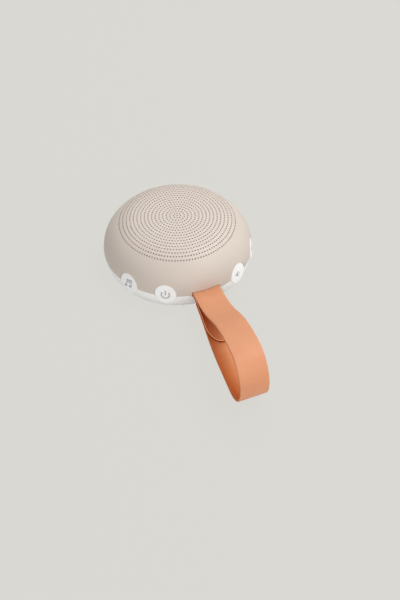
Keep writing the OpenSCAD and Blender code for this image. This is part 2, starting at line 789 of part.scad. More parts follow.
// The leather's eye round the pin and the two layers that pass through the slot
module strap_root() {
    color("#c0703c") difference() {
        union() {
            pin_bar(eye_r, strap_w);
            side_view(strap_w) polygon([[pin_s, slot_h + eye_edge], [eye_end, slot_h + half_stack],
                [body_r, slot_h + half_stack], [body_r, slot_h - half_stack],
                [eye_end, slot_h - half_stack], [pin_s, slot_h - eye_edge]]);
        }
        pin_bar(pin_r + running, strap_w + 2 * over);
        translate([-strap_w, -body_r - over, slot_h - layer_gap / 2])
            cube([2 * strap_w, pin_depth + over, layer_gap]);
    }
}

// The loop: the top run, the far bend and the lower run, which ends under the tongue
module strap_loop() {
    color("#df9a6c") difference() {
        intersection() {
            side_view(lean_w) ribbon(loop_path, 0, -leather_t);
            lean_cut(strap_reach + 2 * over, false);
        }
        at_snap() translate([0, 0, -over]) cylinder(r = barrel_r + running, h = leather_t + 2 * over, $fn = round_fn);
    }
}

// The tongue with a round end that lies on the lower run
module strap_tongue() {
    lift = leather_t + layer_gap;
    color("#d18b5c") difference() {
        intersection() {
            side_view(lean_w) ribbon(tongue_path, -lift, -lift - leather_t);
            lean_cut(tongue_len, true);
        }
        at_snap() translate([0, 0, lift - over]) cylinder(r = shank_r + running, h = leather_t + 2 * over, $fn = round_fn);
    }
}

// Snap socket riveted through the lower run, with a domed cap under it
module snap_socket() {
    color("#b9a37c") at_snap() difference() {
        union() {
            translate([0, 0, -snap_sag - snap_cap_t])
                cylinder(r1 = snap_d / 2 - snap_cap_t, r2 = snap_d / 2, h = snap_cap_t, $fn = round_fn);
            translate([0, 0, -snap_sag - snap_cap_t / 2])
                cylinder(r = barrel_r, h = leather_t + snap_sag + snap_cap_t / 2, $fn = round_fn);
        }
        cylinder(r = stud_r + clear, h = leather_t + over, $fn = round_fn);
    }
}

// Snap stud riveted through the tongue, with a flat post head inside the loop
module snap_stud() {
    lift = leather_t + layer_gap;
    stud_low = 0.7;
    color("#b9a37c") at_snap() {
        translate([0, 0, lift + leather_t])
            cylinder(r1 = snap_d / 2 - snap_cap_t, r2 = snap_d / 2 - 2 * snap_cap_t, h = snap_cap_t, $fn = round_fn);
        translate([0, 0, stud_low]) cylinder(r = shank_r, h = lift + leather_t + snap_cap_t / 2 - stud_low, $fn = round_fn);
        translate([0, 0, stud_low]) cylinder(r = stud_r, h = lift - fit - stud_low, $fn = round_fn);
    }
}

cover();
grille_cloth();
base();
foot_pad();
button_sound();
button_power();
button_volume_down();
button_volume_up();
plunger_sound();
plunger_power();
plunger_volume_down();
plunger_volume_up();
switches();
circuit_board();
board_chips();
charging_socket();
cell();
cell_foam();
cell_lead();
speaker_lead();
lead_plugs();
speaker_carrier();
speaker_gasket();
speaker_frame();
speaker_magnet();
speaker_cone();
speaker_dust_cap();
speaker_terminal();
speaker_screws();
case_screws();
strap_pin();
strap_root();
strap_loop();
strap_tongue();
snap_socket();
snap_stud();
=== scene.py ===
"""A palm-sized white noise machine with a leather carrying loop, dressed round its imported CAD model.

Sizes are in millimetres, angles in degrees and colours in 0 to 255, as a maker gives them.
"""

import json
import math

import bmesh
import bpy
from mathutils import Matrix, Vector


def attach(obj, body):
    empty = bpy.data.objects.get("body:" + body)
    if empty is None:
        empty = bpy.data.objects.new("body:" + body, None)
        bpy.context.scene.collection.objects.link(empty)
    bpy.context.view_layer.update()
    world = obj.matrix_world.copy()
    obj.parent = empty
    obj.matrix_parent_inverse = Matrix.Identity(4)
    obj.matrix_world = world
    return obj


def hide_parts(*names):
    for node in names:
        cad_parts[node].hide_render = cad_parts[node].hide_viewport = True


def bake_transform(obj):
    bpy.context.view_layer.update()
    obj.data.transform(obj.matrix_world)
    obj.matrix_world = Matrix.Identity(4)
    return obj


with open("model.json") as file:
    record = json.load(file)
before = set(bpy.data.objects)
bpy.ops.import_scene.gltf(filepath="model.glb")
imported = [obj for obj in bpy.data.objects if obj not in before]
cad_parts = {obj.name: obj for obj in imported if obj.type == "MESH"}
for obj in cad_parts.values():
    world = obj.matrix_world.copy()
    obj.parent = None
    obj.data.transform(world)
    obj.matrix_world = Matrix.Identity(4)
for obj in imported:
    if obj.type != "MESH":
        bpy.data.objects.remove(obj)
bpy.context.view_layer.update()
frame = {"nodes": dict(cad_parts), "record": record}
MM = 0.001


# ---- Stage: floor, light and camera ----
# A seamless pale sheet under soft light from all round, with a large lamp at the right and
# front that models the dome, and a long lens that looks down on the machine at 45 degrees.
def linear(colour):
    """The linear values of a colour in 0 to 255."""
    parts = [c / 255 for c in colour]
    return [p / 12.92 if p <= 0.04045 else ((p + 0.055) / 1.055) ** 2.4 for p in parts]


SHEET_COLOUR = (217, 216, 211)
SHEET_HALF = 6000
SHEET_GLOW = 0.95
SHEET_ROUGHNESS = 0.9
SHEET_SHEEN = 0.1
AMBIENT = 0.47

scene = bpy.context.scene
scene.view_settings.view_transform = "Standard"


def seen_rays(nodes, links, share):
    """A socket with a share where a camera, glossy or transmission ray arrives, and 0 elsewhere."""
    path = nodes.new("ShaderNodeLightPath")
    total = path.outputs["Is Camera Ray"]
    for kind in ("Is Glossy Ray", "Is Transmission Ray"):
        either = nodes.new("ShaderNodeMath")
        either.operation = "MAXIMUM"
        links.new(total, either.inputs[0])
        links.new(path.outputs[kind], either.inputs[1])
        total = either.outputs[0]
    part = nodes.new("ShaderNodeMath")
    part.operation = "MULTIPLY"
    part.inputs[1].default_value = share
    links.new(total, part.inputs[0])
    return part.outputs[0]


world = bpy.data.worlds.new("studio")
scene.world = world
world.use_nodes = True
sky = world.node_tree
sky.nodes.clear()
seen = sky.nodes.new("ShaderNodeBackground")
seen.inputs["Color"].default_value = (*linear(SHEET_COLOUR), 1)
ambient = sky.nodes.new("ShaderNodeBackground")
ambient.inputs["Color"].default_value = (1, 1, 1, 1)
ambient.inputs["Strength"].default_value = AMBIENT
choice = sky.nodes.new("ShaderNodeMixShader")
sky.links.new(seen_rays(sky.nodes, sky.links, 1), choice.inputs["Fac"])
sky.links.new(ambient.outputs[0], choice.inputs[1])
sky.links.new(seen.outputs[0], choice.inputs[2])
sky.links.new(choice.outputs[0], sky.nodes.new("ShaderNodeOutputWorld").inputs["Surface"])

sheet_mesh = bpy.data.meshes.new("sheet")
side = SHEET_HALF * MM
sheet_mesh.from_pydata([(-side, -side, 0), (side, -side, 0), (side, side, 0), (-side, side, 0)],
                       [], [(0, 1, 2, 3)])
sheet_floor = bpy.data.objects.new("sheet", sheet_mesh)
scene.collection.objects.link(sheet_floor)
# The paper is matt to the light it gives the machine, and nearly its own even colour where it is seen
paper = bpy.data.materials.new("paper")
paper.use_nodes = True
sheet_mesh.materials.append(paper)
tree = paper.node_tree
matt = tree.nodes["Principled BSDF"]
matt.inputs["Base Color"].default_value = (*linear(SHEET_COLOUR), 1)
matt.inputs["Roughness"].default_value = SHEET_ROUGHNESS
matt.inputs["Specular IOR Level"].default_value = SHEET_SHEEN
glow = tree.nodes.new("ShaderNodeEmission")
glow.inputs["Color"].default_value = (*linear(SHEET_COLOUR), 1)
both = tree.nodes.new("ShaderNodeMixShader")
tree.links.new(seen_rays(tree.nodes, tree.links, SHEET_GLOW), both.inputs["Fac"])
tree.links.new(matt.outputs[0], both.inputs[1])
tree.links.new(glow.outputs[0], both.inputs[2])
tree.links.new(both.outputs[0], tree.nodes["Material Output"].inputs["Surface"])


LAMP_AIM = (0, 0, 20)


def softbox(name, place, size, power):
    """A square lamp of a given size at a place, aimed at the machine."""
    light = bpy.data.lights.new(name, "AREA")
    light.size = size * MM
    light.energy = power
    lamp = bpy.data.objects.new(name, light)
    lamp.location = Vector(place) * MM
    lamp.rotation_euler = (Vector(LAMP_AIM) - Vector(place)).to_track_quat("-Z", "Y").to_euler()
    scene.collection.objects.link(lamp)


softbox("overhead", (520, 0, 1050), 500, 5.6)
softbox("window", (450, -950, 800), 700, 3.8)
softbox("sky", (350, 750, 1050), 800, 4.2)
softbox("fill", (-350, -950, 260), 500, 2.2)

# The lens's place and direction, and the small roll of the camera
CAMERA_PLACE = (-174.36, -465.17, 460.99)
CAMERA_FORWARD = (0.26605, 0.65194, -0.71006)
CAMERA_RIGHT = (0.92587, -0.37784, 0)
CAMERA_UP = (0.26829, 0.65743, 0.70414)
CAMERA_ROLL = -0.57
FOCAL_LENGTH = 60.275
SENSOR = 36
CLIP_NEAR = 10
CLIP_FAR = 3 * SHEET_HALF

lens = bpy.data.cameras.new("camera")
lens.sensor_width = SENSOR
lens.lens = FOCAL_LENGTH
lens.clip_start = CLIP_NEAR * MM
lens.clip_end = CLIP_FAR * MM
camera = bpy.data.objects.new("camera", lens)
scene.collection.objects.link(camera)
scene.camera = camera
roll = math.radians(CAMERA_ROLL)
level_right, level_up = Vector(CAMERA_RIGHT), Vector(CAMERA_UP)
right = level_right * math.cos(roll) + level_up * math.sin(roll)
up = level_up * math.cos(roll) - level_right * math.sin(roll)
turn = Matrix((right, up, -Vector(CAMERA_FORWARD))).transposed().to_4x4()
camera.matrix_world = Matrix.Translation(Vector(CAMERA_PLACE) * MM) @ turn


# ---- Cover ----
# The dome over the speaker: one injection-moulded shell in a warm grey-beige with a fine
# spark-eroded texture. Straight round holes are moulded through it on sixteen rings.
class Wire:
    """A value inside a finish. Arithmetic on it adds Math nodes."""

    def __init__(self, finish, socket):
        self.finish = finish
        self.socket = socket

    def combine(self, operation, other):
        return self.finish.node("ShaderNodeMath", {"operation": operation}, {0: self, 1: other})

    def __add__(self, other):
        return self.combine("ADD", other)

    def __mul__(self, other):
        return self.combine("MULTIPLY", other)


class Finish:
    """A material for one surface of the machine, with its nodes written as expressions."""

    def __init__(self, name, colour, roughness, **fixed):
        self.material = bpy.data.materials.new(name)
        self.material.use_nodes = True
        self.tree = self.material.node_tree
        self.shader = self.tree.nodes["Principled BSDF"]
        self.feed("Base Color", (*linear(colour), 1))
        self.feed("Roughness", roughness)
        for socket, value in fixed.items():
            self.feed(socket.replace("_", " "), value)
        self.where = self.node("ShaderNodeTexCoord", output="Object")

    def node(self, kind, settings=None, sockets=None, output=0):
        """A new node with its settings made first and its sockets fed next."""
        new = self.tree.nodes.new(kind)
        for key, value in (settings or {}).items():
            setattr(new, key, value)
        for key, value in (sockets or {}).items():
            self.join(value, new.inputs[key])
        return Wire(self, new.outputs[output])

    def join(self, value, socket):
        if isinstance(value, Wire):
            self.tree.links.new(value.socket, socket)
        else:
            socket.default_value = value

    def feed(self, socket, value):
        self.join(value, self.shader.inputs[socket])

    def noise(self, size, detail=2.0, rough=0.5):
        """Even noise from 0 to 1 with blotches of about a size in millimetres."""
        return self.node("ShaderNodeTexNoise", {}, {"Vector": self.where,
                         "Scale": 1 / (size * MM), "Detail": detail, "Roughness": rough})

    def mix(self, mask, first, second):
        return self.node("ShaderNodeMix", {"data_type": "RGBA"}, {0: mask, 6: first, 7: second}, 2)

    def spread(self, mask, colour, other):
        """The base colour drifts from one colour to another with the mask."""
        self.feed("Base Color", self.mix(mask, (*linear(colour), 1), (*linear(other), 1)))

    def relief(self, height, depth):
        """Bumps of a depth in millimetres where the height goes from 0 to 1."""
        self.feed("Normal", self.node("ShaderNodeBump", {}, {"Height": height,
                  "Distance": depth * MM, "Strength": 1.0}))


PLASTIC_SHEEN = 0.42
PIGMENT_CLOUD = 18
PIGMENT_DARK, PIGMENT_PALE = 0.985, 1.012
PLASTIC_DULLING = 0.12


def moulded(name, colour, roughness, grain, depth):
    """Moulded plastic with an eroded texture and the faint drift of its pigment."""
    finish = Finish(name, colour, roughness, Specular_IOR_Level=PLASTIC_SHEEN)
    drift = finish.noise(PIGMENT_CLOUD, 3)
    dark = [c * PIGMENT_DARK for c in colour]
    pale = [min(255, c * PIGMENT_PALE) for c in colour]
    finish.spread(drift, dark, pale)
    texture = finish.noise(grain, 3, 0.6)
    finish.feed("Roughness", texture * PLASTIC_DULLING + (roughness - PLASTIC_DULLING / 2))
    finish.relief(texture, depth)
    return finish.material


def piece(name, points, faces, *materials):
    """A smooth mesh object from points in millimetres."""
    mesh = bpy.data.meshes.new(name)
    mesh.from_pydata([Vector(p) * MM for p in points], [], faces)
    for material in materials:
        mesh.materials.append(material)
    mesh.polygons.foreach_set("use_smooth", [True] * len(mesh.polygons))
    made = bpy.data.objects.new(name, mesh)
    scene.collection.objects.link(made)
    return made


def revolve(name, profile, turns, *materials):
    """A closed solid from a profile of (radius, height) that starts and ends on the axis."""
    points = [(0, 0, profile[0][1])]
    for radius, height in profile[1:-1]:
        for step in range(turns):
            angle = 2 * math.pi * step / turns
            points.append((radius * math.cos(angle), radius * math.sin(angle), height))
    points.append((0, 0, profile[-1][1]))
    rows = len(profile) - 2
    last = len(points) - 1
    faces = [(0, 1 + step, 1 + (step + 1) % turns) for step in range(turns)]
    for row in range(rows - 1):
        start = 1 + row * turns
        for step in range(turns):
            beside = (step + 1) % turns
            faces.append((start + step, start + turns + step, start + turns + beside, start + beside))
    start = 1 + (rows - 1) * turns
    faces += [(start + step, last, start + (step + 1) % turns) for step in range(turns)]
    return piece(name, points, faces, *materials)


BODY_R = 49.1
BODY_H = 38
WALL = 1.8
CROWN_R = 415
BLEND_R = 95.9
SHOULDER_R = 23.9
SHOULDER_SLOPE = math.radians(8)
SEAM_H = 12.8
SEAM_GAP = 0.2
SEAM_EDGE = 0.25
COVER_TURNS = 288
OUTSIDE_STEPS, INSIDE_STEPS = 16, 10
COVER_CREASE = 32

crown_slope = math.asin((BODY_R - BLEND_R * math.sin(SHOULDER_SLOPE)
                         - SHOULDER_R * (1 - math.sin(SHOULDER_SLOPE))) / (CROWN_R - BLEND_R))
crown_z = BODY_H - CROWN_R
blend_x = (CROWN_R - BLEND_R) * math.sin(crown_slope)
blend_z = crown_z + (CROWN_R - BLEND_R) * math.cos(crown_slope)
shoulder_x = blend_x + (BLEND_R - SHOULDER_R) * math.sin(SHOULDER_SLOPE)
shoulder_z = blend_z + (BLEND_R - SHOULDER_R) * math.cos(SHOULDER_SLOPE)


def dome_line(inset, low, steps):
    """Points of the dome from its middle down to a height, set in by a distance."""
    low_slope = math.pi / 2 + math.asin((shoulder_z - low) / (SHOULDER_R - inset))
    arcs = [(0, crown_z, CROWN_R, 0, crown_slope, steps),
            (blend_x, blend_z, BLEND_R, crown_slope, SHOULDER_SLOPE, steps // 2),
            (shoulder_x, shoulder_z, SHOULDER_R, SHOULDER_SLOPE, low_slope, steps * 2)]
    line = [(0, BODY_H - inset)]
    for x, z, r, start, stop, count in arcs:
        for step in range(1, count + 1):
            slope = start + (stop - start) * step / count
            line.append((x + (r - inset) * math.sin(slope), z + (r - inset) * math.cos(slope)))
    return line


def bar(r, near, far, place, axis, sides):
    """Points and faces of a closed round bar along an axis from a place."""
    along = Vector(axis).normalized()
    across = along.orthogonal().normalized()
    beside = along.cross(across)
    points, faces = [], []
    for reach in (near, far):
        for side_number in range(sides):
            angle = 2 * math.pi * side_number / sides
            ray = across * math.cos(angle) + beside * math.sin(angle)
            points.append(Vector(place) + along * reach + ray * r)
    faces.append(tuple(range(sides - 1, -1, -1)))
    faces.append(tuple(range(sides, 2 * sides)))
    for side_number in range(sides):
        after = (side_number + 1) % sides
        faces.append((side_number, after, sides + after, sides + side_number))
    return points, faces


def joined(name, solids, *materials):
    """One object from several closed solids of points and faces."""
    points, faces = [], []
    for more_points, more_faces in solids:
        start = len(points)
        points += more_points
        faces += [tuple(start + corner for corner in face) for face in more_faces]
    return piece(name, points, faces, *materials)


def cut(target, cutter):
    """Takes the cutter out of the target and removes it."""
    step = target.modifiers.new("cut", "BOOLEAN")
    step.operation = "DIFFERENCE"
    step.solver = "MANIFOLD"
    step.object = cutter
    graph = bpy.context.evaluated_depsgraph_get()
    cleared = bpy.data.meshes.new_from_object(target.evaluated_get(graph))
    target.modifiers.clear()
    target.data = cleared
    bpy.data.objects.remove(cutter)


def crease(made, degrees):
    """Shades a mesh smoothly apart from its edges over an angle."""
    made.data.polygons.foreach_set("use_smooth", [True] * len(made.data.polygons))
    made.data.set_sharp_from_angle(angle=math.radians(degrees))


BUTTON_ANGLES = {"sound": -152, "power": -121, "volume_down": -59, "volume_up": -28}
BUTTON_H = 13.9
BUTTON_BORE = 7.35
BORE_NEAR, BORE_FAR = 38, 52
BORE_SIDES = 96
SLOT_HALF_W = 9.4
SLOT_FRONT, SLOT_BACK = -52, -43
SLOT_H = 13.4
SLOT_HALF_H = 2.1

taupe = moulded("taupe_plastic", (206, 194, 184), roughness=0.5, grain=0.35, depth=0.012)
cover_low = SEAM_H + SEAM_GAP / 2
outside = dome_line(0, cover_low + SEAM_EDGE, OUTSIDE_STEPS)
inside = dome_line(WALL, cover_low, INSIDE_STEPS)
edge = [(outside[-1][0] - SEAM_EDGE * (1 - math.cos(a)), cover_low + SEAM_EDGE * (1 - math.sin(a)))
        for a in (math.radians(30), math.radians(60), math.radians(90))]
cover = revolve("cover_shell", outside + edge + inside[::-1], COVER_TURNS, taupe)

RINGS = 16
SECTORS = 8
RING_PITCH = 2.3625
HOLE_R = 0.5
HOLE_SIDES = 14
HOLE_LOW, HOLE_HIGH = 25, BODY_H + 1
holes = [bar(HOLE_R, HOLE_LOW, HOLE_HIGH, (0, 0, 0), (0, 0, 1), HOLE_SIDES)]
for ring in range(1, RINGS + 1):
    # Each of the eight sectors gains one hole with every ring, half a step in from its border
    for number in range(SECTORS * ring):
        angle = 2 * math.pi * (number + 0.5) / (SECTORS * ring)
        place = (ring * RING_PITCH * math.cos(angle), ring * RING_PITCH * math.sin(angle), 0)
        holes.append(bar(HOLE_R, HOLE_LOW, HOLE_HIGH, place, (0, 0, 1), HOLE_SIDES))
cut(cover, joined("holes", holes))
for angle in BUTTON_ANGLES.values():
    way = (math.cos(math.radians(angle)), math.sin(math.radians(angle)), 0)
    bore = bar(BUTTON_BORE, BORE_NEAR, BORE_FAR, (0, 0, BUTTON_H), way, BORE_SIDES)
    cut(cover, joined("bore", [bore]))
slot_box = [(x, y, z) for x in (-SLOT_HALF_W, SLOT_HALF_W) for y in (SLOT_FRONT, SLOT_BACK)
            for z in (SLOT_H - SLOT_HALF_H, SLOT_H + SLOT_HALF_H)]
slot_faces = [(0, 1, 3, 2), (4, 6, 7, 5), (0, 4, 5, 1), (2, 3, 7, 6), (0, 2, 6, 4), (1, 5, 7, 3)]
cut(cover, joined("slot", [(slot_box, slot_faces)]))
crease(cover, COVER_CREASE)
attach(cover, "case")
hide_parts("cover")


# ---- Base ----
# The white lower half: a moulded tray with a smooth satin band, collars that guide the
# buttons and a bay for the strap's pin. It clips and screws to the cover from below.
white = moulded("white_plastic", (245, 245, 245), roughness=0.4, grain=0.6, depth=0.004)
base_mesh = frame["nodes"]["base"].data
base_mesh.materials.clear()
base_mesh.materials.append(white)


# ---- Buttons ----
# Four round push buttons in the same white plastic. Each face leans back a little with the
# case, has a gentle crown and a soft rim, and carries a printed grey sign.
BUTTON_R = 7.25
BUTTON_LEAN = math.radians(8)
BUTTON_SUNK = 0.15
BUTTON_CROWN = 54
BUTTON_RIM = 0.7
BUTTON_BACK = 44.2
FACE_RINGS = (0.8, 1.8, 2.8, 3.8, 4.8, 5.6, BUTTON_R - BUTTON_RIM)
RIM_STEPS = 6
SPOKES = 96
CAP_CREASE = 50

crown_centre_s = BODY_R - BUTTON_SUNK - BUTTON_CROWN * math.cos(BUTTON_LEAN)
crown_centre_z = -BUTTON_CROWN * math.sin(BUTTON_LEAN)


def face_reach(u, v):
    """How far from the axis the button's face is at u along the rim and v above its middle."""
    return crown_centre_s + math.sqrt(BUTTON_CROWN ** 2 - u ** 2 - (v - crown_centre_z) ** 2)


def rim_point(angle, reach, u, v):
    """A point at a reach from the axis, with u to the right and v up from a button's middle."""
    c, s = math.cos(math.radians(angle)), math.sin(math.radians(angle))
    return (reach * c - u * s, reach * s + u * c, BUTTON_H + v)


def button_cap(name, angle):
    """The button's visible cap: a crowned face, a soft rim and a straight skirt."""
    rings = [(radius, 0) for radius in FACE_RINGS]
    for step in range(1, RIM_STEPS + 1):
        bend = math.radians(90 * step / RIM_STEPS)
        rings.append((BUTTON_R - BUTTON_RIM * (1 - math.sin(bend)), BUTTON_RIM * (1 - math.cos(bend))))
    circle = [(math.cos(2 * math.pi * spoke / SPOKES), math.sin(2 * math.pi * spoke / SPOKES))
              for spoke in range(SPOKES)]
    points = [rim_point(angle, face_reach(0, 0), 0, 0)]
    for radius, drop in rings:
        for x, y in circle:
            u, v = radius * x, radius * y
            points.append(rim_point(angle, face_reach(u, v) - drop, u, v))
    points += [rim_point(angle, BUTTON_BACK, BUTTON_R * x, BUTTON_R * y) for x, y in circle]
    points.append(rim_point(angle, BUTTON_BACK, 0, 0))
    faces = [(0, 1 + spoke, 1 + (spoke + 1) % SPOKES) for spoke in range(SPOKES)]
    for row in range(len(rings)):
        start = 1 + row * SPOKES
        for spoke in range(SPOKES):
            after = (spoke + 1) % SPOKES
            faces.append((start + spoke, start + SPOKES + spoke, start + SPOKES + after, start + after))
    start = 1 + len(rings) * SPOKES
    faces += [(start + spoke, len(points) - 1, start + (spoke + 1) % SPOKES) for spoke in range(SPOKES)]
    cap = piece(name, points, faces, white)
    crease(cap, CAP_CREASE)
    return cap


INK_T = 0.03
INK_STEP = 0.5
INK_CREASE = 40


def stroke(line, width):
    """A stroke of ink of a width along a line."""
    last = len(line) - 1
    left, right_side = [], []
    for number, (u, v) in enumerate(line):
        before, after = line[max(0, number - 1)], line[min(last, number + 1)]
        way = Vector((after[0] - before[0], after[1] - before[1])).normalized()
        left.append((u - way.y * width / 2, v + way.x * width / 2))
        right_side.append((u + way.y * width / 2, v - way.x * width / 2))
    faces = [(n, last + 1 + n, last + 2 + n, n + 1) for n in range(last)]
    return left + right_side, faces


def straight(start, stop, width):
    """A straight stroke, with stations close enough to follow the crowned face."""
    steps = math.ceil(math.dist(start, stop) / INK_STEP)
    line = [(start[0] + (stop[0] - start[0]) * n / steps, start[1] + (stop[1] - start[1]) * n / steps)
            for n in range(steps + 1)]
    return stroke(line, width)


def arc(u, v, r, start, stop, steps, width):
    """A round stroke between two angles."""
    angles = [math.radians(start + (stop - start) * n / steps) for n in range(steps + 1)]
    return stroke([(u + r * math.cos(a), v + r * math.sin(a)) for a in angles], width)


NOTE_HEAD = (1.15, 0.95)
NOTE_TILT = math.radians(15)
NOTE_SIDES = 20


def note_head(u, v):
    """The tilted oval head of a note."""
    points = [(u, v)]
    c, s = math.cos(NOTE_TILT), math.sin(NOTE_TILT)
    for n in range(NOTE_SIDES):
        a = 2 * math.pi * n / NOTE_SIDES
        x, y = NOTE_HEAD[0] * math.cos(a), NOTE_HEAD[1] * math.sin(a)
        points.append((u + x * c - y * s, v + x * s + y * c))
    return points, [(0, 1 + n, 1 + (n + 1) % NOTE_SIDES) for n in range(NOTE_SIDES)]


def power_sign():
    """An open ring with a stem in its gap."""
    return [arc(0, 0.05, 2.6, 140, 400, 40, 0.9), straight((0, -0.3), (0, 3.1), 0.85)]


def notes_sign():
    """A pair of notes: two stems, two beams and two heads."""
    return [straight((-1.2, -2.1), (-1.2, 2.5), 0.7), straight((2.5, -1.5), (2.5, 3.1), 0.7),
            straight((-1.55, 2.35), (2.85, 2.95), 1.2), straight((-1.55, 0.9), (2.85, 1.5), 0.7),
            note_head(-2.0, -2.2), note_head(1.7, -1.6)]


def speaker_sign(waves):
    """A loudspeaker seen from its side, with sound waves in front of it."""
    shapes = [([(-2.9, -0.85), (-1.8, -0.85), (-0.3, -2.3), (-0.3, -0.85), (-0.3, 0.85), (-0.3, 2.3),
                (-1.8, 0.85), (-2.9, 0.85)], [(0, 1, 6, 7), (1, 2, 3), (1, 3, 4, 6), (4, 5, 6)])]
    return shapes + [arc(-0.9, 0, 1.75 + 1.25 * wave, -42, 42, 12, 0.5) for wave in range(waves)]


def print_sign(name, angle, shapes):
    """Ink on a button's face: flat shapes laid over its crown as thin closed solids."""
    points, faces = [], []
    for flat, flat_faces in shapes:
        start = len(points)
        count = len(flat)
        for lift in (INK_T, -INK_T):
            points += [rim_point(angle, face_reach(u, v) + lift, u, v) for u, v in flat]
        for face in flat_faces:
            faces.append(tuple(start + corner for corner in face))
            faces.append(tuple(start + count + corner for corner in reversed(face)))
        edges = [pair for face in flat_faces for pair in zip(face, face[1:] + face[:1])]
        for a, b in edges:
            if (b, a) not in edges:
                faces.append((start + b, start + a, start + count + a, start + count + b))
    sign = piece(name, points, faces, ink)
    made = bmesh.new()
    made.from_mesh(sign.data)
    bmesh.ops.recalc_face_normals(made, faces=made.faces)
    made.to_mesh(sign.data)
    made.free()
    crease(sign, INK_CREASE)
    return sign


INK_DARK, INK_PALE = (172, 173, 179), (182, 183, 188)
ink_finish = Finish("grey_ink", INK_DARK, 0.55)
ink_finish.spread(ink_finish.noise(1.5), INK_DARK, INK_PALE)
ink = ink_finish.material
SIGNS = {"sound": notes_sign(), "power": power_sign(),
         "volume_down": speaker_sign(1), "volume_up": speaker_sign(2)}
for key, angle in BUTTON_ANGLES.items():
    cap = button_cap("cap_" + key, angle)
    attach(cap, "button_" + key)
    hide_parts("button_" + key)
    sign = print_sign("sign_" + key, angle, SIGNS[key])
    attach(sign, "button_" + key)


# ---- Strap ----
# One strip of smooth vegetable-tanned leather. It is wrapped round a steel pin in the case,
# runs out over the top, turns round at the far end and comes back along the table.
STRAP_W = 18.3
LEATHER_T = 1.6
LAYER_GAP = 0.3
STRAP_REACH = 88.5
LOOP_H = 35.8
LOOP_BEND = 17.4
LAY_START = 100.1
STRAP_LEAN = math.radians(4.8)
FLEX_S = BODY_R + 2.2
PIN_S = BODY_R - 6.1
PIN_R = 1.25
PIN_PLAY = 0.05
EYE_START, EYE_STEP, EYE_STATIONS = -65, -23, 11
EYE_NECK = BODY_R - 2.2
TOP_ANGLE = math.radians(5)
END_ANGLE = math.radians(8)

# Where the layers have their stations near the slot: the lower one down its slope past the bend and
# level outside the slot, and the upper one through the slot
SLOPE_WAYS = (2.7, 2.0, 1.3, 0.6)
LEVEL_WAYS = (1.8, 1.3, 0.85, 0.45)
UPPER_WAYS = (-0.6, 0.8)
OUT_STATIONS = len(SLOPE_WAYS) + len(LEVEL_WAYS) - 1

half_stack = LEATHER_T + LAYER_GAP / 2
eye_r = PIN_R + PIN_PLAY + LEATHER_T
tip_s = BODY_R + STRAP_REACH
top_start = (FLEX_S - half_stack * math.sin(TOP_ANGLE), SLOT_H + half_stack * math.cos(TOP_ANGLE))
low_depth = half_stack + LAYER_GAP + LEATHER_T
top_s = tip_s - LOOP_BEND
low_bend = LOOP_H - LOOP_BEND
bottom_s = tip_s - low_bend


def on_slope(depth, way):
    """A place on the slope that falls from the bend, at a depth below its middle."""
    return (FLEX_S - depth * math.sin(END_ANGLE) + way * math.cos(END_ANGLE),
            SLOT_H - depth * math.cos(END_ANGLE) - way * math.sin(END_ANGLE))


def s_curve(start, start_slope, stop, stop_slope, steps):
    """Points (distance, height, slope) of two equal arcs that join two places smoothly."""
    dx, dz = stop[0] - start[0], stop[1] - start[1]
    q = dz / dx
    steep = math.atan(q) + math.acos((math.cos(start_slope) + math.cos(stop_slope)
                                      + q * (math.sin(start_slope) + math.sin(stop_slope)))
                                     / (2 * math.sqrt(1 + q * q)))
    r = dx / (2 * math.sin(steep) - math.sin(start_slope) - math.sin(stop_slope))
    line = []
    for n in range(steps + 1):
        a = start_slope + (steep - start_slope) * n / steps
        line.append((start[0] + r * (math.sin(a) - math.sin(start_slope)),
                     start[1] + r * (math.cos(start_slope) - math.cos(a)), a))
    for n in range(1, steps + 1):
        a = steep + (stop_slope - steep) * n / steps
        line.append((stop[0] - r * (math.sin(a) - math.sin(stop_slope)),
                     stop[1] - r * (math.cos(stop_slope) - math.cos(a)), a))
    return line


quarter = math.pi / 2
ARC_STEPS = 16
LAY_STEPS = 5


def lower_run(steps):
    """Stations of the lower run, from the bend down to where it lies on the table."""
    s, z = on_slope(low_depth, SLOPE_WAYS[0])
    return [(s, -z, -quarter - a) for s, z, a in s_curve((s, -z), END_ANGLE, (LAY_START, 0), 0, steps)]


# Each station of the strap is (distance from the axis, height, direction of its outer face). The
# strap starts past the bend, where the tongue goes on from its lower layer, and runs into the slot,
# round the pin, out again, round the loop and back along the table.
root_line = [(*on_slope(half_stack, way), -quarter - END_ANGLE) for way in SLOPE_WAYS]
root_line += [(BODY_R + way, SLOT_H - half_stack, -quarter) for way in LEVEL_WAYS]
root_line.append((EYE_NECK, SLOT_H - half_stack, -quarter))
for number in range(EYE_STATIONS):
    a = math.radians(EYE_START + EYE_STEP * number)
    root_line.append((PIN_S + eye_r * math.cos(a), SLOT_H + eye_r * math.sin(a), a))
root_line.append((EYE_NECK, SLOT_H + half_stack, quarter))
root_line += [(BODY_R + way, SLOT_H + half_stack, quarter) for way in UPPER_WAYS]
top_line = [(s, z, a + quarter) for s, z, a in
            s_curve(top_start, TOP_ANGLE, (top_s, LOOP_H), 0, ARC_STEPS)]
bend_line = []
for n in range(1, 2 * ARC_STEPS + 1):
    a = quarter - math.pi * n / (2 * ARC_STEPS)
    if a >= 0:
        bend_line.append((top_s + LOOP_BEND * math.cos(a), low_bend + LOOP_BEND * math.sin(a), a))
    else:
        bend_line.append((bottom_s + low_bend * math.cos(a), low_bend * (1 + math.sin(a)), a))
lay_line = [(bottom_s + (LAY_START - bottom_s) * n / LAY_STEPS, 0, -quarter)
            for n in range(1, LAY_STEPS)]
strap_line = root_line + top_line + bend_line + lay_line + lower_run(ARC_STEPS)[::-1]


DYE_CLOUD = 14
FIBRE = 0.9
FIBRE_IN_DYE = 0.25
FIBRE_IN_RELIEF = 0.4
FIBRE_DULLING = 0.16


